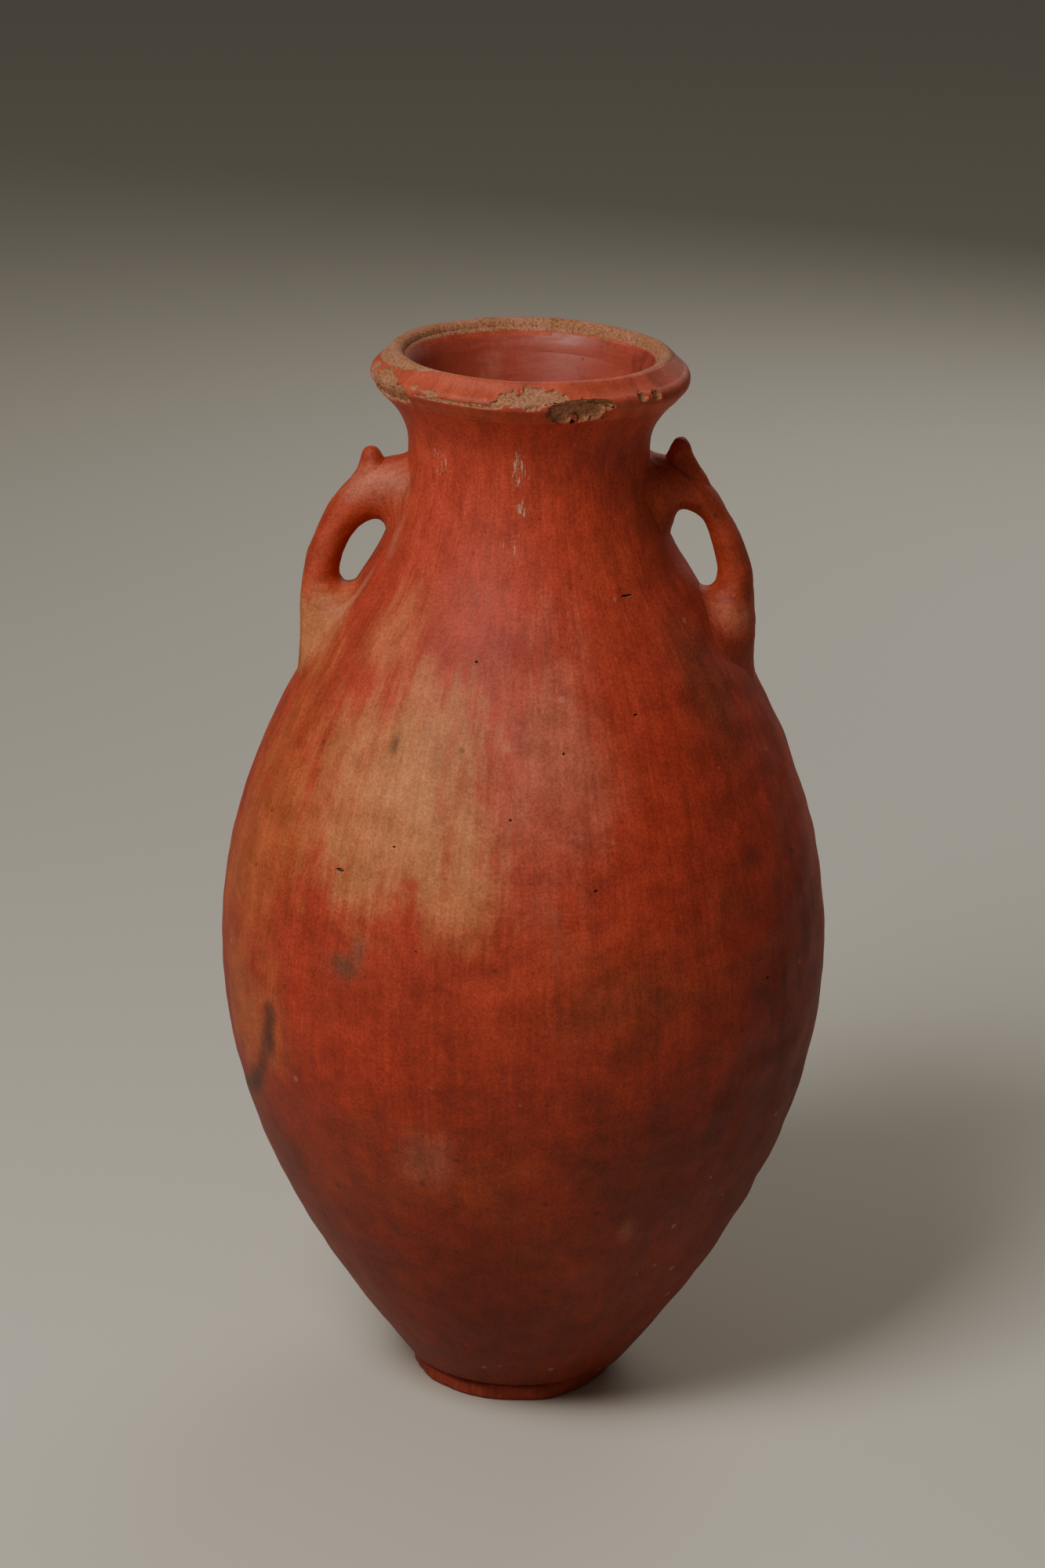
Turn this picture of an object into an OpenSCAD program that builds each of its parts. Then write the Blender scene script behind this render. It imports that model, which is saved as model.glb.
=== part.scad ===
// Two-handled earthenware storage jar: a jar body raised in sections, a foot ring, a heavy lip,
// and two loop handles, each with a small thumb knob near the neck.
// The resting face is z = 0, the jar's axis is Z, and the handles stand along X.

/* [Outline] */
// Height from the resting face to the crest of the lip
jar_h = 520; // [505:1:550]
// Radius of the body just above the foot ring
base_r = 56; // [50:0.5:60]
// Height at which the body starts above the foot ring
base_z = 11; // [10:0.5:14]
// How fast the radius grows at the bottom of the body
base_flare = 0.8; // [0.6:0.05:0.9]
// Radius of the widest part of the belly
belly_r = 146.5; // [135:0.5:155]
// Height of the widest part of the belly
belly_z = 226; // [215:1:240]
// Radius where the shoulder is steepest
shoulder_r = 83; // [80:0.5:86]
// Height where the shoulder is steepest
shoulder_z = 400; // [395:1:405]
// How fast the radius shrinks there
shoulder_taper = 0.7; // [0.6:0.05:0.8]
// Radius of the narrowest part of the neck
neck_r = 56; // [54:0.5:60]
// Height of the narrowest part of the neck
neck_z = 473; // [468:1:478]

/* [Lip] */
// Outer radius of the lip
lip_r = 74; // [72:0.5:78]
// Depth of the lip's widest line below its crest
lip_drop = 12.5; // [10:0.5:14]
// Radius of the lip's rounded outer edge
lip_round = 6; // [4:0.5:7]
// Radius of the lip's rounded crest
crest_round = 4.5; // [3:0.5:5]
// Radius of the mouth at its inner edge
mouth_r = 57; // [55:0.5:59]
// Depth of that edge below the crest
mouth_drop = 4.5; // [4:0.5:8]
// Radius of the flare just under the lip
flare_r = 69.5; // [66:0.5:71]
// Height at which the lip starts to stand out from the flare
flare_z = 500; // [499:0.5:502]

/* [Wall] */
// Thickness of the wall
wall_t = 9; // [7:0.5:11]
// Extra thickness at the very bottom of the wall
wall_extra = 4; // [0:0.5:6]
// Height of the inside floor
floor_z = 23; // [20:0.5:26]
// Radius of the throat, the straight stretch inside the neck
throat_r = 47; // [45:0.5:48]
// Height at which the throat starts
throat_z = 462; // [455:1:465]
// Length of the throat
throat_l = 20; // [10:1:22]

/* [Foot ring] */
// Outer radius of the foot ring
foot_r = 47.5; // [44:0.5:50]
// Inner radius of the foot ring
foot_in_r = 35; // [30:0.5:38]
// Height of the foot ring
foot_h = 9; // [7:0.5:9.5]
// Radius of its rounded edges
foot_round = 2.5; // [1:0.5:3.5]

/* [Seams] */
// Height of the outer line of the seam between the base and the lower wall
seam_base = 32; // [28:1:36]
// Height of the seam between the lower wall and the belly
seam_belly = 179; // [150:1:200]
// Height of the seam between the belly and the shoulder
seam_shoulder = 305; // [280:1:330]
// Height of the seam between the shoulder and the neck
seam_neck = 424; // [418:1:428]
// Height of the seam between the neck and the rim
seam_rim = 498; // [494:1:500]
// How far each seam slants through the wall
scarf = 7; // [4:0.5:9]

/* [Handles] */
// How much higher the right loop is arched than the left
right_arch = 7; // [0:0.5:8]
// Half the width of the strap
strap_w = 10.5; // [8:0.5:13]
// Half the width of its upper root on the neck
upper_root_w = 16; // [12:0.5:20]
// Half the width of its lower root on the shoulder
lower_root_w = 21; // [16:0.5:26]

/* [Thumb knobs] */
// Distance from the axis and height of the left knob's tip
left_tip = [74, 469]; // [60:0.5:480]
// Distance from the axis and height of the right knob's tip
right_tip = [71, 475]; // [60:0.5:480]
// Distance from the axis and height of the middle of each knob's base
knob_foot = [72, 450]; // [60:0.5:480]
// Radius of a knob where it leaves the strap
knob_r = 10.5; // [9:0.5:12]
// Radius of its rounded tip
knob_tip_r = 4; // [2:0.5:5]

/* [Hidden] */
$fn = 96;
step_z = 5;        // spacing of the points along the wall
strap_rings = 5;   // rings in each stretch of a handle
strap_sides = 24;  // corners of each ring
lip_z = jar_h - lip_drop;
edge_z = jar_h - mouth_drop;
throat_top = throat_z + throat_l;
lip_flare = 1.1;   // how fast the flare under the lip widens
mouth_bow = 1.3;   // how much later than evenly the mouth widens above the throat
lip_under = -30;   // where the lip's rounded edge starts, in degrees from level
lip_over = 60;     // where it ends

// ---- outline of the wall ----

// The outline is four smooth stretches between these stations: height, radius, rate of change
stations = [[base_z, base_r, base_flare], [belly_z, belly_r, 0],
            [shoulder_z, shoulder_r, -shoulder_taper], [neck_z, neck_r, 0],
            [flare_z, flare_r, lip_flare]];

// Radius at parameter t of the cubic stretch between two stations
function stretch_r(a, b, t) =
    (2*t*t*t - 3*t*t + 1) * a[1] + (t*t*t - 2*t*t + t) * (b[0] - a[0]) * a[2]
    + (3*t*t - 2*t*t*t) * b[1] + (t*t*t - t*t) * (b[0] - a[0]) * b[2];

// Index of the stretch that holds height z
function stretch_at(z) = z < belly_z ? 0 : z < shoulder_z ? 1 : z < neck_z ? 2 : 3;

// Outer radius of the wall at height z
function outer_r(z) =
    let (i = stretch_at(z), a = stations[i], b = stations[i + 1])
    stretch_r(a, b, (z - a[0]) / (b[0] - a[0]));

// Rate at which the outer radius changes at height z
function flare(z) = (outer_r(z + 0.5) - outer_r(z - 0.5));

// Thickness of the wall at height z, measured across it
function thick(z) = wall_t + wall_extra * max(0, 1 - z / belly_z);

// Inner radius of the mouth at height z, widening from the throat to the crest
function mouth_in_r(z) =
    throat_r + (mouth_r - throat_r) * pow((z - throat_top) / (edge_z - throat_top), mouth_bow);

// Inner radius of the wall at height z, with the straight throat let in
function inner_r(z) =
    z > throat_top ? mouth_in_r(z)
    : z >= throat_z ? throat_r
    : max(throat_r, outer_r(z) - thick(z) * sqrt(1 + flare(z) * flare(z)));

// Heights from a to b in even steps, both ends kept
function heights(a, b) =
    let (n = max(1, ceil(abs(b - a) / step_z))) [for (i = [0:n]) a + (b - a) * i / n];

function outer_points(a, b) = [for (z = heights(a, b)) [outer_r(z), z]];
function inner_points(a, b) = [for (z = heights(a, b)) [inner_r(z), z]];

// Points of an arc about [x, z]
function arc(x, z, r, from, to, n) =
    [for (i = [0:n]) let (a = from + (to - from) * i / n) [x + r * cos(a), z + r * sin(a)]];

// Point at t of a curve that leaves a towards b and arrives at c
function curve(a, b, c, t) = (1 - t) * (1 - t) * a + 2 * t * (1 - t) * b + t * t * c;

// A ring of wall between two seams. The seams slant up towards the inside.
module wall_ring(low, low_in, high, high_in) {
    rotate_extrude()
        polygon(concat(outer_points(low, high), inner_points(high_in, low_in)));
}

// ---- body, from the foot up ----

module foot_ring() {
    r = foot_round;
    color("indianred")
    rotate_extrude()
        polygon(concat([[foot_in_r, foot_h], [foot_in_r, 1], [foot_in_r + 1, 0]],
                       arc(foot_r - r, r, r, -90, 0, 6),
                       arc(foot_r - r, foot_h - r, r, 0, 90, 6)));
}

module base_disc() {
    // The floor runs level and then curves up into the wall
    floor_edge = [for (t = [1:-0.1:0])
        curve([20, floor_z], [52, floor_z],
              [inner_r(seam_base + scarf), seam_base + scarf], t)];
    color("sienna")
    rotate_extrude()
        polygon(concat([[0, foot_h], [foot_r - foot_round, foot_h]],
                       outer_points(base_z, seam_base), floor_edge, [[0, floor_z]]));
}

module lower_wall() {
    color("firebrick")
        wall_ring(seam_base, seam_base + scarf, seam_belly, seam_belly + scarf);
}

module belly_wall() {
    color("indianred")
        wall_ring(seam_belly, seam_belly + scarf, seam_shoulder, seam_shoulder + scarf);
}

module shoulder_wall() {
    color("chocolate")
        wall_ring(seam_shoulder, seam_shoulder + scarf, seam_neck, seam_neck + scarf);
}

module neck() {
    top_in = seam_rim + scarf;
    color("firebrick")
    rotate_extrude()
        polygon(concat(outer_points(seam_neck, seam_rim),
                       inner_points(top_in, throat_top + step_z),
                       [[throat_r, throat_top], [throat_r, throat_z]],
                       inner_points(throat_z - step_z, seam_neck + scarf)));
}

module rim() {
    crest_x = mouth_r + crest_round + 1;
    color("tomato")
    rotate_extrude()
        polygon(concat(outer_points(seam_rim, flare_z),
                       arc(lip_r - lip_round, lip_z, lip_round, lip_under, lip_over, 8),
                       arc(crest_x, jar_h - crest_round, crest_round, 60, 170, 10),
                       inner_points(edge_z, seam_rim + scarf)));
}

// ---- handles ----

// Stations along a handle, from the neck down to the shoulder. Each one gives the strap's
// under edge, its outer edge, both as distance from the axis and height, and half its width.
function strap_stations(arch) = [
    [[66, 431], [56.5, 467], upper_root_w],
    [[70, 434.5 + arch], [65, 464], (strap_w + upper_root_w) / 2],
    [[76, 434.5 + arch], [76, 461], strap_w + 0.5],
    [[83, 428.5 + arch], [90, 449], strap_w],
    [[88.5, 417 + arch / 2], [101, 430], strap_w],
    [[90, 408], [107.5, 409], strap_w + 0.5],
    [[87, 404], [108, 390], strap_w + 4],
    [[81.5, 403], [105.5, 363], lower_root_w]
];

// Value at t of the smooth curve from b to c, which passes a before and d after
function through(a, b, c, d, t) =
    b + 0.5 * t * (c - a + t * (2*a - 5*b + 4*c - d + t * (3*(b - c) + d - a)));

// The stations with smooth rings worked out between them
function strap_path(s) = [
    for (i = [0:len(s) - 2], j = [0:strap_rings - 1])
        let (a = s[max(i - 1, 0)], b = s[i], c = s[i + 1], d = s[min(i + 2, len(s) - 1)])
        [for (k = [0:2]) through(a[k], b[k], c[k], d[k], j / strap_rings)],
    s[len(s) - 1]
];

// One oval ring of a strap
function strap_ring(p) =
    let (mid = (p[0] + p[1]) / 2, half = (p[1] - p[0]) / 2)
    [for (i = [0:strap_sides - 1]) let (a = 360 * i / strap_sides)
        [mid[0] + half[0] * cos(a), p[2] * sin(a), mid[1] + half[1] * cos(a)]];

// A point moved level along X onto the wall
function on_wall(p) = [sqrt(pow(outer_r(p[2]), 2) - p[1] * p[1]), p[1], p[2]];

// A ring drawn in towards its middle, for the ends that lie on the wall
function shrunk(ring, k) =
    let (mid = (ring[0] + ring[strap_sides / 2]) / 2) [for (p = ring) mid + (p - mid) * k];

function wall_rings(ring) = [for (k = [0.02, 0.35, 0.7, 1]) [for (p = shrunk(ring, k)) on_wall(p)]];

function reversed(list) = [for (i = [len(list) - 1:-1:0]) list[i]];

// A closed tube through a list of rings
module skin(rings) {
    n = strap_sides;
    last = len(rings) - 1;
    polyhedron(
        points = [for (ring = rings, p = ring) p],
        faces = concat(
            [[for (i = [n - 1:-1:0]) i]],
            [for (k = [0:last - 1], i = [0:n - 1]) let (a = k * n + i, b = k * n + (i + 1) % n)
                each [[a, b, a + n], [b, b + n, a + n]]],
            [[for (i = [0:n - 1]) last * n + i]]));
}

module strap(arch) {
    rings = [for (p = strap_path(strap_stations(arch))) strap_ring(p)];
    last = len(rings) - 1;
    skin(concat(wall_rings(rings[0]),
                [for (k = [1:last - 1]) rings[k]],
                reversed(wall_rings(rings[last]))));
}

module left_handle() {
    color("chocolate") mirror([1, 0, 0]) strap(0);
}

module right_handle() {
    color("firebrick") strap(right_arch);
}

// ---- thumb knobs ----

// A rounded cone from the strap to the tip, with its buried part taken off
module knob(tip, arch) {
    lean = atan2(tip[0] - knob_foot[0], tip[1] - knob_foot[1]);
    tall = norm(tip - knob_foot);
    difference() {
        translate([knob_foot[0], 0, knob_foot[1]])
        rotate([0, lean, 0])
        rotate_extrude()
            polygon(concat([[0, 0], [knob_r, 0]],
                           [for (t = [0.1:0.15:0.85])
                               curve([knob_r, 0], [knob_tip_r + 2, tall * 0.5],
                                     [knob_tip_r, tall - knob_tip_r], t)],
                           arc(0, tall - knob_tip_r, knob_tip_r, 0, 90, 5)));
        strap(arch);
    }
}

module left_thumb_knob() {
    color("sandybrown") mirror([1, 0, 0]) knob(left_tip, 0);
}

module right_thumb_knob() {
    color("brown") knob(right_tip, right_arch);
}

foot_ring();
base_disc();
lower_wall();
belly_wall();
shoulder_wall();
neck();
rim();
left_handle();
right_handle();
left_thumb_knob();
right_thumb_knob();
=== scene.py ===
import math

import bpy
from mathutils import Matrix, Vector, noise


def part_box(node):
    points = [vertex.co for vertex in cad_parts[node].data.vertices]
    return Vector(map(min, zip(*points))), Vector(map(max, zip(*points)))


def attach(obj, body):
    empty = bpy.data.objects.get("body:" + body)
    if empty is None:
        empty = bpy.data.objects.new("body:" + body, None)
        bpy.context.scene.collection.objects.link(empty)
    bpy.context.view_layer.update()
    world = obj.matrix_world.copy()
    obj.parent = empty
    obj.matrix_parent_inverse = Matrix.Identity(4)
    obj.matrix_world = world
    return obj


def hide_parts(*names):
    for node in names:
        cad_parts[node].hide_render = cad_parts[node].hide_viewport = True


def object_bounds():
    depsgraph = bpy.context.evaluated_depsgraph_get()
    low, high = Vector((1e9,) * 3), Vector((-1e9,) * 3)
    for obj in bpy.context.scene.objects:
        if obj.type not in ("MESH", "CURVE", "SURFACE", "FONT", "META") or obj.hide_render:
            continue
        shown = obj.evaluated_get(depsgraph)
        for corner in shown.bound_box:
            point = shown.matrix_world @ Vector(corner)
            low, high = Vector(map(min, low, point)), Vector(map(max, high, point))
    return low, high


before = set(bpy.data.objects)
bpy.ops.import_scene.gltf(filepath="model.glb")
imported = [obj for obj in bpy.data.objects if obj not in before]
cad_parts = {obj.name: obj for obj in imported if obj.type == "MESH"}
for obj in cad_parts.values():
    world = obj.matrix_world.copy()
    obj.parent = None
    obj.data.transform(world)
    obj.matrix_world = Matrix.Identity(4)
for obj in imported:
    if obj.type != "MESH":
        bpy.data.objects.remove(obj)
cadBox = [list(corner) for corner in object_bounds()]
print("frame loaded:", len(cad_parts), "parts")

# ---------- camera ----------

cameraPlace = {
    "at": (-0.00125, -1.9848, 0.9772),
    "downDegrees": 18.75,
    "rollDegrees": 0.73,
    "lens": 100,
}


def makeCamera(place):
    bpy.ops.object.camera_add(location=place["at"])
    camera = bpy.context.object
    camera.name = "viewCamera"
    camera.data.lens = place["lens"]
    tilt = Matrix.Rotation(math.radians(90 - place["downDegrees"]), 4, "X")
    roll = Matrix.Rotation(math.radians(place["rollDegrees"]), 4, "Z")
    camera.rotation_euler = (tilt @ roll).to_euler()
    bpy.context.scene.camera = camera


makeCamera(cameraPlace)

# ---------- the jar's outline ----------

jarTop = cadBox[1][2]
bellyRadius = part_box("belly_wall")[1].x
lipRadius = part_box("rim")[1].x
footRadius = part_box("foot_ring")[1].x
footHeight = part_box("foot_ring")[1].z
seamHeight = {
    name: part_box(name)[0].z
    for name in ("lower_wall", "belly_wall", "shoulder_wall", "neck", "rim")
}

# height, radius and rate of change at the ends of each smooth stretch of wall
outline = [
    (0.011, 0.056, 0.8),
    (0.226, bellyRadius, 0.0),
    (0.400, 0.083, -0.7),
    (0.473, 0.056, 0.0),
    (0.500, 0.0695, 1.1),
]

wall = {
    "thickness": 0.009,
    "extraAtBottom": 0.004,
    "floorHeight": 0.023,
    "scarf": 0.007,  # how far a seam slants up through the wall
    "throatRadius": 0.047,
    "throatTop": 0.482,
    "mouthRadius": 0.057,
    "mouthDrop": 0.0045,
    "mouthBow": 1.3,
    "rowSpacing": 0.002,
    "innerSpacing": 0.008,
    "turns": 480,  # steps round the jar
}


def outerRadius(z):
    z = min(max(z, outline[0][0]), outline[-1][0])
    for low, high in zip(outline, outline[1:]):
        if z <= high[0]:
            break
    span = high[0] - low[0]
    t = (z - low[0]) / span
    start = (2 * t**3 - 3 * t**2 + 1) * low[1] + (t**3 - 2 * t**2 + t) * span * low[2]
    return start + (3 * t**2 - 2 * t**3) * high[1] + (t**3 - t**2) * span * high[2]


def flare(z):
    return (outerRadius(z + 0.0005) - outerRadius(z - 0.0005)) / 0.001


def wallThickness(z):
    return wall["thickness"] + wall["extraAtBottom"] * max(0, 1 - z / outline[1][0])


def innerRadius(z):
    if z > wall["throatTop"]:
        rise = (z - wall["throatTop"]) / (jarTop - wall["mouthDrop"] - wall["throatTop"])
        widens = wall["mouthRadius"] - wall["throatRadius"]
        return wall["throatRadius"] + widens * rise ** wall["mouthBow"]
    slant = math.sqrt(1 + flare(z) ** 2)
    return max(wall["throatRadius"], outerRadius(z) - wallThickness(z) * slant)


def climb(radiusAt, start, end, spacing):
    count = max(1, math.ceil(abs(end - start) / spacing))
    heights = [start + (end - start) * i / count for i in range(count + 1)]
    return [(radiusAt(z), z) for z in heights]


def arc(x, z, radius, start, end, count):
    angles = [math.radians(start + (end - start) * i / count) for i in range(count + 1)]
    return [(x + radius * math.cos(a), z + radius * math.sin(a)) for a in angles]


def straight(start, end, count):
    return [
        (start[0] + (end[0] - start[0]) * i / count, start[1] + (end[1] - start[1]) * i / count)
        for i in range(1, count)
    ]


# ---------- shaped by hand ----------

handWork = {
    "outOfRound": 0.0007,
    "lumps": 0.0009,
    "lumpSize": 0.11,
    "dents": 0.0011,
    "dentSize": 0.021,
    "ridges": 0.00010,
    "ridgeSpacing": 0.0026,
    "grit": 0.00013,
    "gritSize": 0.006,
    "crease": 0.0003,
    "creaseWidth": 0.0016,
    "throwing": 0.0003,  # level ridges inside
    "throwingSpacing": 0.0024,
    "lipTilt": 0.0022,
    "lipSideTilt": 0.0016,
    "lipWobble": 0.0008,
    "frontPinch": 0.0036,
}


def ease(low, high, x):
    t = min(max((x - low) / (high - low), 0), 1)
    return t * t * (3 - 2 * t)


def roughness(place, size, seed):
    return noise.noise(Vector(place) / size + Vector((seed, seed * 1.7, seed * 0.3)))


def bodySway(x, y, z):
    # slow, large changes that the inside and the outside of the wall share
    angle = math.atan2(x, -y)
    push = handWork["outOfRound"] * math.cos(2 * angle - 0.8 + 9 * z)
    return push + handWork["lumps"] * roughness((x, y, z), handWork["lumpSize"], 3.1)


def outerRelief(x, y, z):
    angle = math.atan2(x, -y)
    body = ease(0.012, 0.05, z) * (1 - ease(0.40, 0.44, z))
    right = 0.45 + 0.55 * ease(-0.3, 0.5, angle)
    dents = roughness((x, y, z * 1.3), handWork["dentSize"], 7.7)
    push = handWork["dents"] * body * right * dents
    rings = math.sin(z / handWork["ridgeSpacing"] + 2.5 * roughness((x, y, z), 0.09, 1.3))
    push += handWork["ridges"] * rings * (0.4 + roughness((x, y, z), 0.05, 5.2))
    push += handWork["grit"] * roughness((x, y, z), handWork["gritSize"], 9.4)
    crease = math.exp(-(((z - seamHeight["belly_wall"]) / handWork["creaseWidth"]) ** 2))
    reach = ease(-0.55, -0.4, angle) * (1 - ease(-0.15, 0.02, angle))
    return push - handWork["crease"] * crease * (0.1 + 0.9 * reach)


def shapeWall(x, y, z):
    radius = math.hypot(x, y)
    if radius < 1e-6:
        return x, y, z
    skin = wallThickness(z)
    depth = min(max((outerRadius(z) - radius) / skin, 0), 1)
    push = bodySway(x, y, z) * ease(0.0, 0.03, z)
    push += outerRelief(x, y, z) * (1 - depth)
    rings = math.sin(z / handWork["throwingSpacing"] + roughness((x, y, z), 0.06, 2.2))
    push += handWork["throwing"] * depth * rings
    grown = (radius + push) / radius
    angle = math.atan2(x, -y)
    front = 1 - ease(0.65, 1.25, abs(angle + 0.1))
    pinch = handWork["frontPinch"] * front * ease(0.484, 0.503, z) * (1 - ease(0.507, 0.517, z))
    z += pinch * (1 - depth)
    high = ease(0.45, jarTop, z)
    drop = handWork["lipTilt"] * (1 - y / lipRadius) / 2
    drop += handWork["lipSideTilt"] * (1 + x / lipRadius) / 2
    drop += handWork["lipWobble"] * (0.5 + roughness((x, y, 0), 0.04, 4.4))
    return x * grown, y * grown, z - high * drop


def reshape(piece, change):
    for vertex in piece.data.vertices:
        vertex.co = change(*vertex.co)
    piece.data.update()


# ---------- turned pieces ----------


def lathe(name, section, turns):
    # one point is drawn out along the section and spun into a wedge, and the wedge is doubled
    bpy.ops.object.select_all(action="DESELECT")
    first = section[0]
    bpy.ops.mesh.primitive_plane_add(size=0.001, location=(first[0], 0, first[1]))
    piece = bpy.context.object
    piece.name = name
    bpy.ops.object.transform_apply(location=True)
    bpy.ops.object.mode_set(mode="EDIT")
    bpy.ops.mesh.select_all(action="SELECT")
    bpy.ops.mesh.merge(type="CENTER")
    for here, there in zip(section, section[1:] + section[:1]):
        step = (there[0] - here[0], 0, there[1] - here[1])
        bpy.ops.mesh.extrude_region_move(TRANSFORM_OT_translate={"value": step})
    bpy.ops.mesh.select_all(action="SELECT")
    bpy.ops.mesh.remove_doubles(threshold=1e-6)
    wedge = math.tau / 16
    bpy.ops.mesh.spin(steps=turns // 16, angle=wedge, center=(0, 0, 0), axis=(0, 0, 1))
    for doubled in (1, 2, 4, 8):
        bpy.ops.mesh.select_all(action="SELECT")
        bpy.ops.mesh.duplicate()
        bpy.ops.transform.rotate(
            value=wedge * doubled, orient_axis="Z", center_override=(0, 0, 0)
        )
    bpy.ops.mesh.select_all(action="SELECT")
    bpy.ops.mesh.remove_doubles(threshold=1e-6)
    bpy.ops.mesh.delete_loose()
    bpy.ops.mesh.normals_make_consistent(inside=False)
    bpy.ops.object.mode_set(mode="OBJECT")
    return piece


def softenShading(piece, degrees=38):
    bpy.ops.object.select_all(action="DESELECT")
    piece.select_set(True)
    bpy.context.view_layer.objects.active = piece
    bpy.ops.object.shade_smooth_by_angle(angle=math.radians(degrees))


def wallRing(name, low, high, spacing=wall["rowSpacing"]):
    scarf = wall["scarf"]
    near = 0.0002  # a short first and last row, so that the shading runs on across the seams
    section = [(outerRadius(low), low)] + climb(outerRadius, low + near, high - near, spacing)
    section += [(outerRadius(high), high)]
    section += climb(innerRadius, high + scarf, low + scarf, wall["innerSpacing"])
    piece = lathe(name, section, wall["turns"])
    reshape(piece, shapeWall)
    return piece


footRing = {
    "inner": 0.035,
    "chamfer": 0.001,
    "round": 0.0025,
    "turns": 240,
    "uneven": 0.0011,
    "worn": 0.0007,
    "standsOut": 0.0045,
}


def shapeFoot(x, y, z):
    radius = math.hypot(x, y)
    push = footRing["uneven"] * roughness((x, y, z * 2), 0.014, 2.6)
    push += footRing["uneven"] * 0.3 * roughness((x, y, z), 0.004, 6.1)
    # the ring was put on off centre, so it stands out at the front left
    angle = math.atan2(x, -y)
    left = 1 - ease(0.9, 1.9, abs(angle + 0.75))
    push += footRing["standsOut"] * left * ease(0.039, footRadius, radius)
    lift = footRing["worn"] * max(0, roughness((x, y, 0), 0.02, 8.3)) * (1 - z / footHeight)
    return x * (radius + push) / radius, y * (radius + push) / radius, z + lift


def makeFootRing():
    r = footRing["round"]
    inner = footRing["inner"]
    chamfer = footRing["chamfer"]
    section = [(inner, footHeight), (inner, chamfer), (inner + chamfer, 0)]
    section += straight(section[-1], (footRadius - r, 0), 6)
    section += arc(footRadius - r, r, r, -90, 0, 5)
    section += arc(footRadius - r, footHeight - r, r, 0, 90, 5)
    section += straight(section[-1], section[0], 6)
    piece = lathe("footRing", section, footRing["turns"])
    reshape(piece, shapeFoot)
    return piece


# the curve from the flat floor up to the wall: where it starts and where it turns, and its steps
floorBowl = {"start": 0.02, "turn": 0.052, "steps": 8}


def makeBaseDisc():
    top = seamHeight["lower_wall"]
    scarf = wall["scarf"]
    corner = (innerRadius(top + scarf), top + scarf)
    floor = wall["floorHeight"]
    section = [(0, footHeight), (footRadius - footRing["round"], footHeight)]
    section += climb(outerRadius, outline[0][0], top, 0.0015)
    for i in range(floorBowl["steps"] + 1):
        t = 1 - i / floorBowl["steps"]
        a, b, c = (1 - t) ** 2, 2 * t * (1 - t), t * t
        out = a * floorBowl["start"] + b * floorBowl["turn"] + c * corner[0]
        section.append((out, (a + b) * floor + c * corner[1]))
    section.append((0, floor))
    piece = lathe("baseDisc", section, wall["turns"])
    reshape(piece, shapeWall)
    return piece


lip = {
    "round": 0.006,
    "drop": 0.0125,
    "under": -30,
    "over": 60,
    "crestRound": 0.0045,
    "crestStart": 60,
    "crestEnd": 170,
    "turns": 960,
}

# places where the lip is broken: degrees round from the front, height, half length along the
# lip, half height, depth, and how much it is scooped out, from 0, flat, to 1
lipChips = [
    (-7.0, 0.5118, 0.0065, 0.0052, 0.0009, 0.1),
    (0.5, 0.5120, 0.0098, 0.0066, 0.0012, 0.1),
    (9.0, 0.5122, 0.0080, 0.0050, 0.0010, 0.1),
    (-11.5, 0.5082, 0.0034, 0.0026, 0.0010, 0.2),
    (18.0, 0.5050, 0.0150, 0.0072, 0.0054, 0.85),
    (12.5, 0.5028, 0.0080, 0.0048, 0.0042, 0.8),
    (25.5, 0.5072, 0.0062, 0.0044, 0.0036, 0.85),
    (44.0, 0.5098, 0.0032, 0.0030, 0.0022, 0.9),
    (51.5, 0.5100, 0.0030, 0.0028, 0.0020, 0.9),
    (-68.0, 0.5075, 0.0150, 0.0082, 0.0016, 0.25),
    (-56.0, 0.5050, 0.0080, 0.0056, 0.0013, 0.25),
    (-82.0, 0.5085, 0.0090, 0.0062, 0.0012, 0.25),
    (-38.0, 0.5092, 0.0050, 0.0022, 0.0006, 0.2),
    (-36.0, 0.5062, 0.0140, 0.0011, 0.0004, 0.1),
    (-20.0, 0.5062, 0.0120, 0.0013, 0.0004, 0.1),
    (-46.0, 0.5100, 0.0028, 0.0018, 0.0006, 0.2),
    (112.0, 0.5060, 0.0080, 0.0050, 0.0018, 0.5),
    (165.0, 0.5075, 0.0110, 0.0046, 0.0013, 0.3),
    (-135.0, 0.5065, 0.0070, 0.0052, 0.0024, 0.7),
]


def chipDepth(x, y, z):
    # how deep the lip is broken at this point of its outside
    deepest = 0
    angle = math.degrees(math.atan2(x, -y))
    edge = 0.26 * roughness((x, y, z), 0.005, 5.5) + 0.16 * roughness((x, y, z), 0.0016, 3.5)
    for around, height, halfLength, halfHeight, depth, scoop in lipChips:
        turn = (angle - around + 180) % 360 - 180
        along = math.radians(turn) * lipRadius / halfLength
        up = (z - height) / halfHeight
        off = math.sqrt(along**2 + up**2) + edge
        if off < 1:
            bowl = math.sqrt(1 - max(off, 0) ** 2)
            cliff = ease(0, 0.12, 1 - off)
            deepest = max(deepest, depth * (scoop * bowl + (1 - scoop) * cliff))
    return deepest


crestRub = {"radius": 0.0595, "width": 0.0012, "widerBack": 0.0085, "widerLeft": 0.0030}


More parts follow.
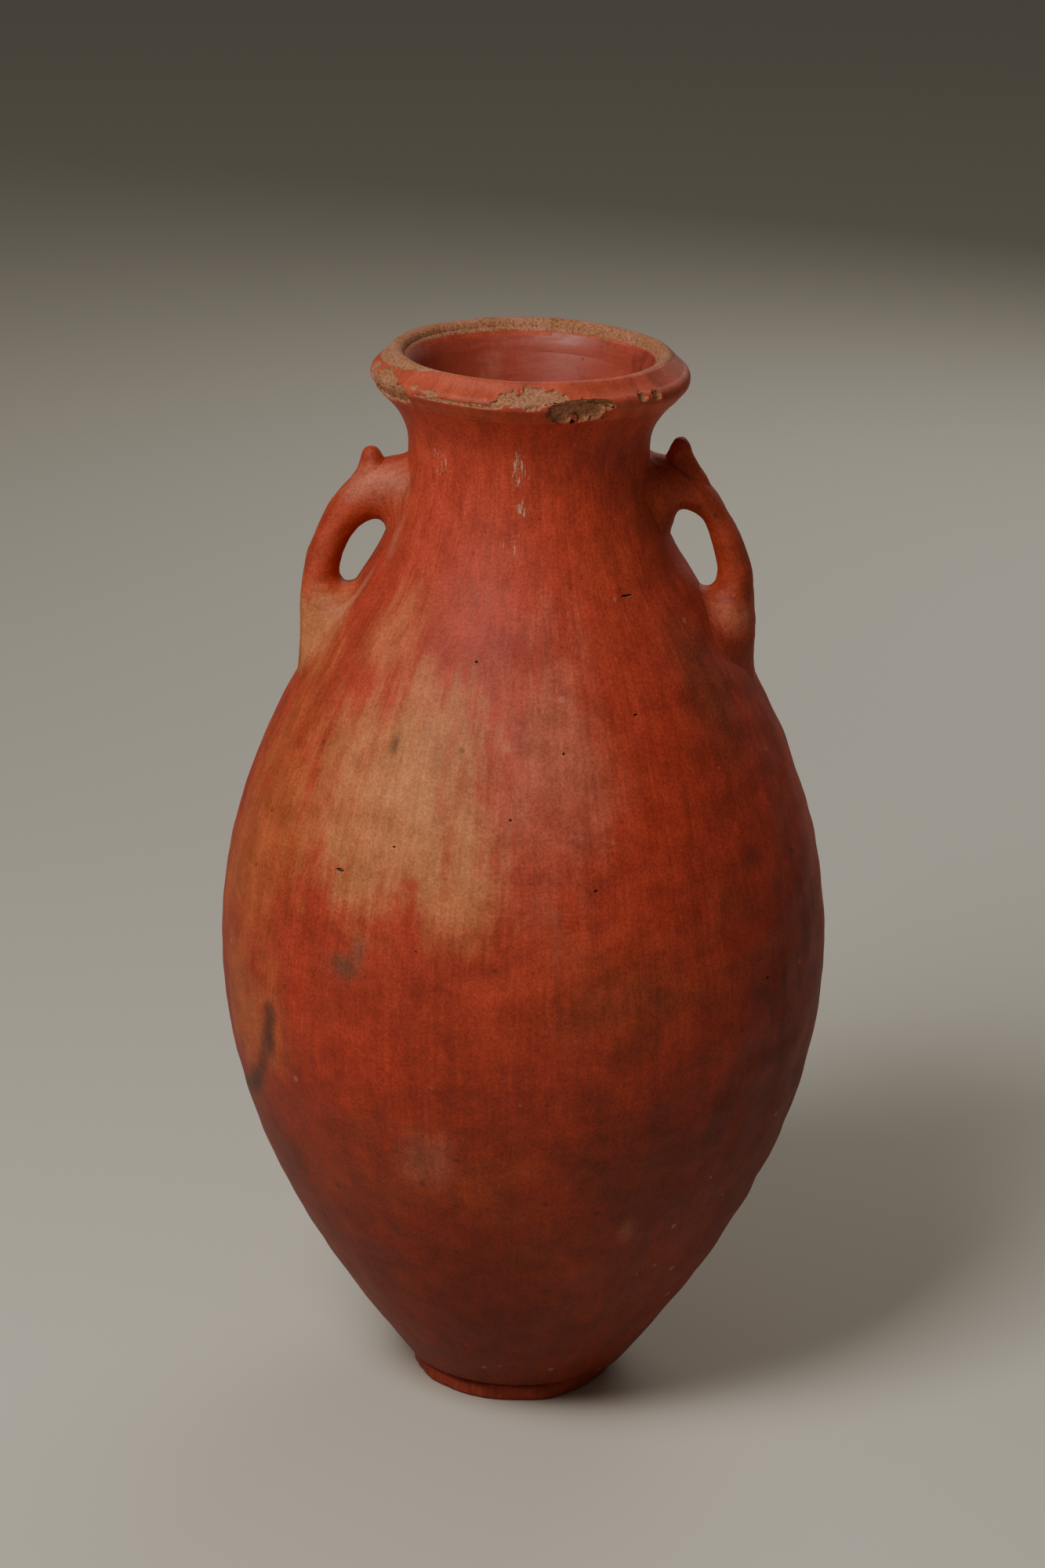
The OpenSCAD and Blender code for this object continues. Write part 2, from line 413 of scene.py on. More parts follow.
def crestWear(x, y, z):
    # the slip is rubbed off along the crest, most of all at the back
    radius = math.hypot(x, y)
    angle = math.atan2(x, -y)
    back = 0.5 - 0.5 * math.cos(angle)
    left = ease(0.2, 1.2, -angle) * (1 - ease(2.0, 3.0, -angle))
    reach = crestRub["width"] + crestRub["widerBack"] * back + crestRub["widerLeft"] * left
    band = 1 - ease(0.45, 1, abs(radius - crestRub["radius"] - reach * 0.45) / reach)
    rubbed = 0.80 + 0.55 * back + 0.7 * roughness((x, y, z), 0.01, 1.1)
    return min(1, band * ease(jarTop - 0.0075, jarTop - 0.003, z) * rubbed)


def makeRim():
    low = seamHeight["rim"]
    lipHeight = jarTop - lip["drop"]
    crest = (wall["mouthRadius"] + lip["crestRound"] + 0.001, jarTop - lip["crestRound"])
    section = climb(outerRadius, low, low + 0.0002, 1)
    section += climb(outerRadius, low + 0.0005, outline[-1][0], 0.0005)
    edge = arc(lipRadius - lip["round"], lipHeight, lip["round"], lip["under"], lip["over"], 22)
    section += straight(section[-1], edge[0], 9) + edge
    top = arc(crest[0], crest[1], lip["crestRound"], lip["crestStart"], lip["crestEnd"], 12)
    section += straight(edge[-1], top[0], 18) + top
    section += climb(innerRadius, jarTop - wall["mouthDrop"], low + wall["scarf"], 0.0015)
    section += straight(section[-1], section[0], 8)
    piece = lathe("rim", section, lip["turns"])
    depths = {}
    for vertex in piece.data.vertices:
        x, y, z = vertex.co
        if math.hypot(x, y) > crest[0] - 0.003:
            depths[vertex.index] = chipDepth(x, y, z)
    normals = [vertex.normal.copy() for vertex in piece.data.vertices]
    bare = piece.data.attributes.new("bare", "FLOAT", "POINT")
    for vertex, normal in zip(piece.data.vertices, normals):
        place = tuple(vertex.co)
        depth = depths.get(vertex.index, 0)
        worn = max(ease(0.0001, 0.0004, depth), crestWear(*place))
        bare.data[vertex.index].value = worn
        rough = 0.00022 * roughness(place, 0.0012, 7.2) + 0.0004 * roughness(place, 0.0035, 2.9)
        vertex.co -= normal * (depth + min(1, depth / 0.001) * rough + 0.00012 * worn)
    reshape(piece, shapeWall)
    return piece


pieces = {}
pieces["foot_ring"] = makeFootRing()
pieces["base_disc"] = makeBaseDisc()
pieces["lower_wall"] = wallRing("lowerWall", seamHeight["lower_wall"], seamHeight["belly_wall"])
pieces["belly_wall"] = wallRing("bellyWall", seamHeight["belly_wall"], seamHeight["shoulder_wall"])
pieces["shoulder_wall"] = wallRing("shoulderWall", seamHeight["shoulder_wall"], seamHeight["neck"])
pieces["neck"] = wallRing("neck", seamHeight["neck"], seamHeight["rim"], 0.0015)
pieces["rim"] = makeRim()
print("turned pieces made")

# ---------- handles ----------

handleShape = {
    "left_handle": {"side": -1, "arch": 0.0, "seed": 1.0},
    "right_handle": {"side": 1, "arch": 0.007, "seed": 6.0},
}
strap = {
    "sides": 16,
    # how far the clay is smeared out on the wall: at the outer end, the under end and the sides
    "smearUpper": (0.003, 0.005, 0.009),
    "smearLower": (0.008, 0.004, 0.011),
    "apart": 0.006,  # how far apart a root's rings stay until they are joined
    "buried": 0.0045,
    "lumps": 0.0010,
    "grit": 0.00028,
}


def strapStations(arch):
    # under edge, outer edge (distance from the axis, height) and half width, neck to shoulder
    return [
        ((0.066, 0.431), (0.0565, 0.4655 + arch / 3), 0.016),
        ((0.070, 0.4345 + arch), (0.065, 0.4655 + arch / 3), 0.0133),
        ((0.076, 0.4345 + arch), (0.076, 0.4630), 0.011),
        ((0.083, 0.4285 + arch), (0.090, 0.449), 0.0105),
        ((0.0885, 0.417 + arch / 2), (0.101, 0.430), 0.0105),
        ((0.090, 0.408), (0.1075, 0.409), 0.011),
        ((0.087, 0.404), (0.108, 0.390), 0.0145),
        ((0.0815, 0.403), (0.1055, 0.363), 0.021),
    ]


def spread(station, smear):
    under, outer, halfWidth = station
    length = math.dist(under, outer)
    step = [(b - a) / length for a, b in zip(under, outer)]
    farOuter = [b + s * smear[0] for b, s in zip(outer, step)]
    farUnder = [a - s * smear[1] for a, s in zip(under, step)]
    return farUnder, farOuter, halfWidth + smear[2]


def startRings(name):
    bpy.ops.object.select_all(action="DESELECT")
    bpy.ops.mesh.primitive_circle_add(vertices=4)
    piece = bpy.context.object
    piece.name = name
    bpy.ops.object.mode_set(mode="EDIT")
    bpy.ops.mesh.select_all(action="SELECT")
    bpy.ops.mesh.delete(type="VERT")
    return piece


def addRing(at, size, turn, sides):
    # a circle is squashed to an oval, turned about Y and moved to its station
    bpy.ops.mesh.primitive_circle_add(vertices=sides, radius=1)
    bpy.ops.transform.resize(value=(size[0], size[1], 1), center_override=(0, 0, 0))
    bpy.ops.transform.rotate(value=turn, orient_axis="Y", center_override=(0, 0, 0))
    bpy.ops.transform.translate(value=at)


def selectRings(piece, first, last, sides):
    bpy.ops.mesh.select_all(action="DESELECT")
    bpy.ops.object.mode_set(mode="OBJECT")
    for vertex in piece.data.vertices:
        vertex.select = first * sides <= vertex.index < (last + 1) * sides
    for edge in piece.data.edges:
        edge.select = all(piece.data.vertices[i].select for i in edge.vertices)
    bpy.ops.object.mode_set(mode="EDIT")


def joinRings(piece, count, sides, sink=0.0):
    bpy.ops.mesh.select_mode(type="EDGE")
    for k in range(count - 1):
        selectRings(piece, k, k + 1, sides)
        bpy.ops.mesh.bridge_edge_loops()
    for k in (0, count - 1):
        selectRings(piece, k, k, sides)
        bpy.ops.mesh.edge_face_add()
        if sink:
            # the closed end is drawn on towards the axis, to be buried in the wall
            bpy.ops.mesh.extrude_region_move(TRANSFORM_OT_translate={"value": (sink, 0, 0)})
    bpy.ops.mesh.select_mode(type="VERT")
    bpy.ops.mesh.select_all(action="SELECT")
    bpy.ops.mesh.normals_make_consistent(inside=False)
    bpy.ops.object.mode_set(mode="OBJECT")


def applyModifier(piece, kind, **settings):
    bpy.ops.object.select_all(action="DESELECT")
    piece.select_set(True)
    bpy.context.view_layer.objects.active = piece
    modifier = piece.modifiers.new(kind.lower(), kind)
    for key, value in settings.items():
        setattr(modifier, key, value)
    bpy.ops.object.modifier_apply(modifier=modifier.name)


def wallSurface(side, y, z, lift):
    # the point of the hand-shaped wall at this y and height, lifted off it
    x = side * math.sqrt(max(outerRadius(z) ** 2 - y * y, 1e-8))
    radius = outerRadius(z) + bodySway(x, y, z) + outerRelief(x, y, z) + lift
    return side * math.sqrt(max(radius**2 - y * y, 1e-8))


def smearRoot(piece, side, rings):
    # five rings, from the strap down to the wall, follow one curve that ends flat on the wall
    sides = strap["sides"]
    for j in range(sides):
        points = [piece.data.vertices[k * sides + j] for k in rings]
        for k, lift in ((2, 0.0002), (4, -0.0006)):
            co = points[k].co
            co.x = wallSurface(side, co.y, co.z, lift)
        start, corner, end = points[0].co.copy(), points[2].co.copy(), points[4].co.copy()
        for k, t in ((1, 0.3), (2, 0.55), (3, 0.8)):
            points[k].co = (1 - t) ** 2 * start + 2 * t * (1 - t) * corner + t * t * end


def makeHandle(name, shape):
    side = shape["side"]
    sides = strap["sides"]
    stations = strapStations(shape["arch"])
    top, foot = stations[0], stations[-1]
    rings = [spread(top, strap["smearUpper"]), top, top, top]
    rings += stations[1:-1]
    rings += [foot, foot, foot, spread(foot, strap["smearLower"])]
    piece = startRings(name)
    last = len(rings) - 1
    for k, (under, outer, halfWidth) in enumerate(rings):
        # the rings of a root are kept apart until they are joined, and then laid on the wall
        apart = strap["apart"] * max(0, 4 - min(k, last - k))
        middle = (side * ((under[0] + outer[0]) / 2 - apart), 0, (under[1] + outer[1]) / 2)
        across = (outer[0] - under[0], outer[1] - under[1])
        turn = math.atan2(across[1], side * across[0])
        addRing(middle, (math.hypot(*across) / 2, halfWidth), turn, sides)
    joinRings(piece, len(rings), sides, -side * strap["apart"])
    smearRoot(piece, side, (4, 3, 2, 1, 0))
    smearRoot(piece, side, (last - 4, last - 3, last - 2, last - 1, last))
    for vertex in piece.data.vertices[len(rings) * sides:]:
        vertex.co.x = wallSurface(side, vertex.co.y, vertex.co.z, -strap["buried"])
    applyModifier(piece, "SUBSURF", levels=3, render_levels=3)
    return piece


def pressByHand(piece, seed):
    # small uneven pushes along each point's normal
    normals = [vertex.normal.copy() for vertex in piece.data.vertices]
    for vertex, normal in zip(piece.data.vertices, normals):
        push = strap["lumps"] * roughness(vertex.co, 0.017, seed)
        push += strap["grit"] * roughness(vertex.co, 0.004, seed + 2)
        vertex.co += normal * push
    piece.data.update()


for node, shape in handleShape.items():
    pieces[node] = makeHandle(node.replace("_h", "H"), shape)
print("handles made")

# ---------- thumb knobs ----------

knobShape = {
    "left_thumb_knob": {
        "side": -1, "tip": (0.0745, 0.4697), "fat": 0.93, "skirt": 0.35, "reach": 0.001,
    },
    "right_thumb_knob": {
        "side": 1, "tip": (0.0705, 0.4760), "fat": 1.02, "skirt": 0.60, "reach": 0.0042,
    },
}
knobFoot = (0.073, 0.455)
knobSides = 12
# share of the way up to the tip, and half width along and across the strap
knobRings = [(-0.45, 0.006, 0.006), (0.0, 0.0128, 0.0092), (0.2, 0.0088, 0.0086)]
knobRings += [(0.42, 0.0070, 0.0076), (0.62, 0.0059, 0.0065), (0.82, 0.0049, 0.0053)]
knobRings += [(0.96, 0.0032, 0.0036), (1.0, 0.0013, 0.0014)]


def makeKnob(name, shape, handle):
    side = shape["side"]
    lean = side * (shape["tip"][0] - knobFoot[0])
    tall = shape["tip"][1] - knobFoot[1]
    piece = startRings(name)
    for share, along, across in knobRings:
        inward = side * shape["reach"] * (1 - max(share, 0)) ** 1.5
        at = (side * knobFoot[0] + lean * share - inward, 0, knobFoot[1] + tall * share)
        broad = 1 + shape["skirt"] * max(0, 1 - max(share, 0) / 0.8)
        size = (along * shape["fat"] * broad, across * min(shape["fat"], 1.05))
        addRing(at, size, -math.atan2(lean, tall), knobSides)
    joinRings(piece, len(knobRings), knobSides)
    # the second ring is laid on the strap, and the first stays inside it
    skirt = piece.vertex_groups.new(name="skirt")
    skirt.add(list(range(knobSides, 2 * knobSides)), 1, "REPLACE")
    applyModifier(
        piece, "SHRINKWRAP", target=handle, vertex_group="skirt", offset=-0.0004,
        wrap_method="PROJECT", use_project_z=True, use_negative_direction=True,
        use_positive_direction=False, wrap_mode="ON_SURFACE",
    )
    applyModifier(piece, "SUBSURF", levels=3, render_levels=3)
    return piece


for node, shape in knobShape.items():
    handle = pieces[node.replace("thumb_knob", "handle")]
    pieces[node] = makeKnob(node.replace("_thumb_k", "ThumbK"), shape, handle)
for node, shape in handleShape.items():
    for onSide in (node, node.replace("handle", "thumb_knob")):
        pressByHand(pieces[onSide], shape["seed"])
print("knobs made")

# ---------- materials ----------

colors = {
    "slip": (0.470, 0.056, 0.030),
    "strongRed": (0.490, 0.045, 0.024),
    "orange": (0.490, 0.120, 0.040),
    "tan": (0.600, 0.228, 0.088),
    "brown": (0.110, 0.021, 0.010),
    "olive": (0.170, 0.048, 0.020),
    "grey": (0.165, 0.088, 0.050),
    "soot": (0.035, 0.020, 0.014),
    "pale": (0.580, 0.260, 0.165),
    "bareClay": (0.440, 0.200, 0.095),
    "bareDark": (0.150, 0.052, 0.022),
    "inside": (0.380, 0.062, 0.038),
    "foot": (0.440, 0.070, 0.040),
    "strap": (0.445, 0.063, 0.031),
    "flake": (0.700, 0.420, 0.290),
    # a dark red laid low on the body and low on the right: partly the slip's own darker red, partly
    # painted shade where the body turns down and away from the light
    "lowShadeRed": (0.150, 0.014, 0.003),
    "rim": (0.500, 0.085, 0.045),
}

referenceRadius = 0.1  # patterns that run round the jar are laid on a circle of this radius

# marks of the kiln and of wear in the slip, and some painted light: painted shade low down and low on
# the right, and a painted highlight on the belly: degrees round from the front, height, half width in
# degrees, half height, where the soft edge starts, strength and colour
kilnMarksAndPaintedLight = [
    (-32, 0.333, 33, 0.066, 0.25, 0.82, "tan"),
    (-22, 0.345, 18, 0.045, 0.20, 0.45, "tan"),
    (-13, 0.287, 12, 0.030, 0.15, 0.60, "tan"),
    (-46, 0.395, 16, 0.030, 0.20, 0.40, "tan"),
    (-68, 0.300, 22, 0.115, 0.25, 0.75, "orange"),
    (-52, 0.310, 12, 0.055, 0.10, 0.45, "orange"),
    (-62, 0.205, 15, 0.045, 0.20, 0.60, "orange"),
    (-70, 0.318, 5, 0.012, 0.10, 0.60, "strongRed"),
    (-64, 0.345, 3, 0.020, 0.10, 0.50, "strongRed"),
    (-45, 0.240, 4, 0.028, 0.20, 0.70, "strongRed"),
    (-30, 0.215, 22, 0.040, 0.20, 0.50, "strongRed"),
    (6, 0.322, 14, 0.030, 0.10, 0.45, "strongRed"),
    (30, 0.335, 22, 0.075, 0.10, 0.40, "strongRed"),
    (-62, 0.135, 16, 0.034, 0.20, 0.45, "brown"),
    (-34.5, 0.254, 6.5, 0.012, 0.05, 0.80, "grey"),
    (-31.5, 0.264, 2.4, 0.009, 0.05, 0.60, "grey"),
    (-32.3, 0.354, 2.6, 0.008, 0.05, 0.75, "grey"),
    (-21.6, 0.284, 1.5, 0.018, 0.20, 0.65, "strongRed"),
    (-22.5, 0.297, 2.4, 0.004, 0.20, 0.65, "strongRed"),
    (30, 0.150, 30, 0.080, 0.10, 0.50, "brown"),
    # the next two marks darken the bottom and the low right side: partly the slip's colour, partly
    # painted shade
    (10, 0.050, 80, 0.060, 0.15, 0.50, "lowShadeRed"),
    (66, 0.150, 36, 0.170, 0.15, 0.85, "lowShadeRed"),
    (56, 0.372, 14, 0.045, 0.20, 0.55, "olive"),
    (43, 0.282, 7, 0.016, 0.10, 0.35, "olive"),
    (20, 0.245, 22, 0.034, 0.10, 0.35, "olive"),
    (-19, 0.165, 9.0, 0.022, 0.10, 0.22, "pale"),
    # partly a pale film on the slip, partly a painted highlight: the broad soft sheen on the belly is
    # painted in pale here
    (6, 0.352, 22, 0.085, 0.00, 0.32, "pale"),
    (24, 0.121, 4.0, 0.010, 0.10, 0.18, "pale"),
    (-86, 0.382, 20, 0.030, 0.20, 0.75, "tan"),
    (-80, 0.455, 13, 0.013, 0.10, 0.38, "pale"),
    (-70, 0.432, 7, 0.018, 0.10, 0.36, "pale"),
    (-77, 0.406, 3.5, 0.018, 0.10, 0.50, "pale"),
    (83, 0.393, 10, 0.012, 0.05, 0.32, "pale"),
    (158, 0.330, 32, 0.060, 0.15, 0.60, "orange"),
    (-150, 0.250, 26, 0.050, 0.15, 0.50, "olive"),
    (128, 0.205, 12, 0.016, 0.05, 0.70, "soot"),
    (-112, 0.240, 18, 0.060, 0.15, 0.50, "strongRed"),
    (105, 0.300, 20, 0.070, 0.15, 0.40, "brown"),
]

# a thin trail of smoke low on the left, laid as a row of marks along one bend
smokeTrail = {
    "start": (-84, 0.157),
    "bend": (-57, 0.164),
    "end": (-54, 0.218),
    "marks": 12,
    "strength": 0.62,
}


def smokeMarks(trail):
    marks = []
    for i in range(trail["marks"]):
        t = i / (trail["marks"] - 1)
        corners = zip(trail["start"], trail["bend"], trail["end"])
        at = [(1 - t) ** 2 * a + 2 * t * (1 - t) * b + t * t * c for a, b, c in corners]
        marks.append((*at, 5.0 - 2.4 * t, 0.0085, 0.05, trail["strength"], "soot"))
    return marks


kilnMarksAndPaintedLight += smokeMarks(smokeTrail)


def feed(tree, node, values):
    # each input gets its value, or a link from the output that feeds it
    for key, value in values.items():
        if isinstance(value, bpy.types.NodeSocket):
            tree.links.new(value, node.inputs[key])
        else:
            node.inputs[key].default_value = value


def add(tree, kind, values=None, **settings):
    node = tree.nodes.new("ShaderNode" + kind)
    for key, value in settings.items():
        setattr(node, key, value)
    feed(tree, node, values or {})
    return node


def calc(tree, operation, a, b=0.0, clamp=False):
    return add(tree, "Math", {0: a, 1: b}, operation=operation, use_clamp=clamp).outputs[0]


def times(tree, a, b):
    return calc(tree, "MULTIPLY", a, b)


def vectorOf(tree, operation, a, b):
    return add(tree, "VectorMath", {0: a, 1: b}, operation=operation).outputs[0]


def scaled(tree, vector, amount):
    return add(tree, "VectorMath", {0: vector, "Scale": amount}, operation="SCALE").outputs[0]


def clouds(tree, at, scale, detail, coarseness):
    values = {"Vector": at, "Scale": scale, "Detail": detail, "Roughness": coarseness}
    return add(tree, "TexNoise", values).outputs["Fac"]


def blend(tree, amount, under, over):
    # of a Mix node's inputs, the colours are numbers 6 and 7, and the mixed colour is output 2
    return add(tree, "Mix", {0: amount, 6: under, 7: over}, data_type="RGBA").outputs[2]


def ramp(tree, value, low, high, bottom=0.0, top=1.0):
    values = {"Value": value, "From Min": low, "From Max": high, "To Min": bottom, "To Max": top}
    return add(tree, "MapRange", values, interpolation_type="SMOOTHSTEP").outputs[0]


def newGroup(name, inputs, outputs):
    tree = bpy.data.node_groups.new(name, "ShaderNodeTree")
    for side, sockets in (("INPUT", inputs), ("OUTPUT", outputs)):
        for label, kind in sockets.items():
            tree.interface.new_socket(name=label, in_out=side, socket_type="NodeSocket" + kind)
    start = tree.nodes.new("NodeGroupInput")
    end = tree.nodes.new("NodeGroupOutput")
    return tree, start.outputs, end


def place(tree, group, values=None):
    return add(tree, "Group", values, node_tree=group).outputs


def finishGroup(tree, end, results):
    for label, value in results.items():
        tree.links.new(value, end.inputs[label])
    return tree


def opaque(name):
    return tuple(colors[name]) + (1,)


def makeAroundGroup():
    # the point moved straight out or in to the reference circle, and its height
    tree, _, end = newGroup("aroundTheJar", {}, {"Around": "Vector", "Height": "Float"})
    at = add(tree, "TexCoord").outputs["Object"]
    flat = vectorOf(tree, "MULTIPLY", at, (1, 1, 0))
    unit = add(tree, "VectorMath", {0: flat}, operation="NORMALIZE").outputs[0]
    height = add(tree, "SeparateXYZ", {0: at}).outputs["Z"]
    up = add(tree, "CombineXYZ", {"Z": height}).outputs[0]
    around = vectorOf(tree, "ADD", scaled(tree, unit, referenceRadius), up)
    return finishGroup(tree, end, {"Around": around, "Height": height})


aroundTheJar = makeAroundGroup()


def makeMarkGroup():
    # a soft, ragged spot round a centre on the unrolled wall
    tree, given, end = newGroup(
        "softMark",
        {"Around": "Vector", "Centre": "Vector", "Reach": "Vector", "Ragged": "Float", "Core": "Float"},
        {"Mask": "Float"},
    )
    off = vectorOf(tree, "SUBTRACT", given["Around"], given["Centre"])
    share = vectorOf(tree, "DIVIDE", off, given["Reach"])
    length = add(tree, "VectorMath", {0: share}, operation="LENGTH").outputs["Value"]
    edge = calc(tree, "ADD", length, given["Ragged"])
    return finishGroup(tree, end, {"Mask": ramp(tree, edge, 1.0, given["Core"])})


softMark = makeMarkGroup()


def markAt(tree, around, ragged, mark):
    degrees, height, halfWidth, halfHeight, core = mark[:5]
    angle = math.radians(degrees)
    centre = (referenceRadius * math.sin(angle), -referenceRadius * math.cos(angle), height)
    reach = 2 * referenceRadius * math.sin(math.radians(halfWidth) / 2)
    values = {"Around": around, "Centre": centre, "Reach": (reach, reach, halfHeight)}
    values.update({"Ragged": ragged, "Core": core})
    return place(tree, softMark, values)["Mask"]


def makeKilnAndPaintedLightGroup():
    # the slip's colour as the kiln left it, with painted light in it: mottling, a darker red low down
    # that is partly the slip's and partly painted shade, and all the marks, among them painted shade
    # and a painted highlight
    tree, given, end = newGroup("kilnColorAndPaintedLight", {"Slip": "Color", "Marks": "Float"}, {"Color": "Color"})
    spot = place(tree, aroundTheJar)
    around = spot["Around"]
    cloud = clouds(tree, around, 22.0, 6.0, 0.62)
    drawn = vectorOf(tree, "MULTIPLY", around, (1.0, 1.0, 0.16))
    streaks = clouds(tree, drawn, 120.0, 6.0, 0.7)
    ragged = calc(tree, "ADD", cloud, times(tree, streaks, 0.8))
    ragged = times(tree, calc(tree, "SUBTRACT", ragged, 0.9), 1.5)
    color = given["Slip"]
    # darker towards the bottom: partly the slip's colour, partly painted shade on the lower body, which
    # faces down and away from the light
    low = times(tree, ramp(tree, spot["Height"], 0.36, 0.03), given["Marks"])
    color = blend(tree, times(tree, low, 0.84), color, opaque("lowShadeRed"))
    patches = clouds(tree, around, 13.0, 5.0, 0.6)
    warm = ramp(tree, patches, 0.5, 0.72)
    color = blend(tree, times(tree, warm, 0.18), color, opaque("orange"))
    dark = ramp(tree, patches, 0.47, 0.28)
    color = blend(tree, times(tree, dark, 0.25), color, opaque("brown"))
    for mark in kilnMarksAndPaintedLight:
        mask = markAt(tree, around, ragged, mark)
        mask = times(tree, times(tree, mask, mark[5]), given["Marks"])
        color = blend(tree, mask, color, opaque(mark[6]))
    # smaller mottling over everything
    dim = ramp(tree, clouds(tree, around, 75.0, 6.0, 0.7), 0.3, 0.7, 0.80, 1.18)
    return finishGroup(tree, end, {"Color": scaled(tree, color, dim)})


kilnColorAndPaintedLight = makeKilnAndPaintedLightGroup()


def makeBurnishGroup():
    # upright strokes left by rubbing the slip with a pebble
    tree, given, end = newGroup("burnish", {"Width": "Float"}, {"Tone": "Float", "Height": "Float"})
    around = place(tree, aroundTheJar)["Around"]
    strokes = []
    for stretch in ((1.0, 1.0, 0.055), (0.28, 0.28, 0.02)):
        drawn = vectorOf(tree, "MULTIPLY", around, stretch)
        strokes.append(clouds(tree, drawn, given["Width"], 4.0, 0.65))
    fine, wide = strokes
    tone = calc(tree, "ADD", times(tree, fine, 0.6), times(tree, wide, 0.4))
    height = calc(tree, "ADD", times(tree, fine, 0.45), wide)
    return finishGroup(tree, end, {"Tone": tone, "Height": height})


burnish = makeBurnishGroup()

specks = {"density": 0.16, "rarity": 0.86, "size": 0.22}


def makeGrainGroup():
    # the clay's grit: fine grain, and scattered pale and dark specks
    tree, given, end = newGroup(
        "clayGrain", {"Size": "Float"}, {"Grain": "Float", "Pale": "Float", "Dark": "Float"}
    )
    at = add(tree, "TexCoord").outputs["Object"]
    scale = calc(tree, "DIVIDE", 1.0, given["Size"])
    results = {"Grain": clouds(tree, at, scale, 3.0, 0.75)}
    for label, shift in (("Pale", 0.0), ("Dark", 0.37)):
        seeded = vectorOf(tree, "ADD", at, (shift, shift, shift))
        cell = times(tree, scale, specks["density"])
        spots = add(tree, "TexVoronoi", {"Vector": seeded, "Scale": cell})
        chance = add(tree, "SeparateColor", {0: spots.outputs["Color"]}).outputs[0]
        size = times(tree, ramp(tree, chance, specks["rarity"], 1.0), specks["size"])
        inside = calc(tree, "SUBTRACT", size, spots.outputs["Distance"])
        results[label] = ramp(tree, inside, 0.0, 0.05)
    return finishGroup(tree, end, results)


clayGrain = makeGrainGroup()


def makeBareGroup():
    # broken or rubbed clay with no slip on it
    tree, given, end = newGroup("bareClay", {"Size": "Float"}, {"Color": "Color", "Height": "Float"})
    at = add(tree, "TexCoord").outputs["Object"]
    scale = calc(tree, "DIVIDE", 1.0, given["Size"])
    coarse = clouds(tree, at, scale, 8.0, 0.72)
    soft = clouds(tree, at, 60.0, 4.0, 0.6)
    holes = add(tree, "TexVoronoi", {"Vector": at, "Scale": scale})
    pits = ramp(tree, holes.outputs["Distance"], 0.32, 0.12)
    color = blend(tree, ramp(tree, soft, 0.3, 0.7), opaque("bareClay"), opaque("pale"))
    dark = ramp(tree, coarse, 0.56, 0.36)
    color = blend(tree, times(tree, dark, 0.7), color, opaque("bareDark"))
    color = blend(tree, times(tree, pits, 0.5), color, opaque("bareDark"))
    height = calc(tree, "SUBTRACT", coarse, times(tree, pits, 0.35))
    return finishGroup(tree, end, {"Color": color, "Height": height})


bareGroup = makeBareGroup()


def startMaterial(name):
    material = bpy.data.materials.new(name)
    material.use_nodes = True
    return material, material.node_tree


def finishMaterial(material, color, rough, lift, shine=0.5):
    tree = material.node_tree
    bump = add(tree, "Bump", {"Height": lift, "Distance": 0.001})
    values = {"Base Color": color, "Roughness": rough, "Normal": bump.outputs["Normal"]}
    values["Specular IOR Level"] = shine
    feed(tree, tree.nodes["Principled BSDF"], values)
    return material


bareGrain = 0.0013  # the size of the grain where the clay is bare
bareRelief = 0.45

# what differs from one finish to the next
finishes = {
    "bodySlip": {
        "color": "slip", "marks": 1.0, "strokes": 700.0, "strokeTone": 0.15, "grain": 0.0013,
        "roughness": 0.55, "relief": 0.17, "spalls": [],
    },
    "neckSlip": {
        "color": "slip", "marks": 1.0, "strokes": 1300.0, "strokeTone": 0.18, "grain": 0.0012,
        "roughness": 0.56, "relief": 0.17,
        "spalls": [
            (-5.0, 0.474, 7.5, 0.020, 0.2, 0.55),
            (-3.0, 0.456, 7.0, 0.009, 0.2, 0.52),
            (-6.0, 0.440, 9.0, 0.016, 0.3, 0.40),
            (-47.0, 0.474, 11.0, 0.017, 0.3, 0.43),
            (-33.0, 0.478, 12.0, 0.014, 0.3, 0.30),
            (8.0, 0.446, 14.0, 0.014, 0.3, 0.30),
            (30.0, 0.474, 16.0, 0.016, 0.3, 0.22),
        ],
    },
    "rimSlip": {
        "color": "rim", "marks": 0.4, "strokes": 500.0, "strokeTone": 0.10, "grain": 0.0008,
        "roughness": 0.56, "relief": 0.09, "spalls": [],
    },
    "handleSlip": {
        "color": "strap", "marks": 1.0, "strokes": 260.0, "strokeTone": 0.20, "grain": 0.0012,
        "roughness": 0.58, "relief": 0.20, "spalls": [],
    },
    "footSlip": {
        "color": "foot", "marks": 0.3, "strokes": 500.0, "strokeTone": 0.2, "grain": 0.0008,
        "roughness": 0.62, "relief": 0.14, "spalls": [],
    },
}


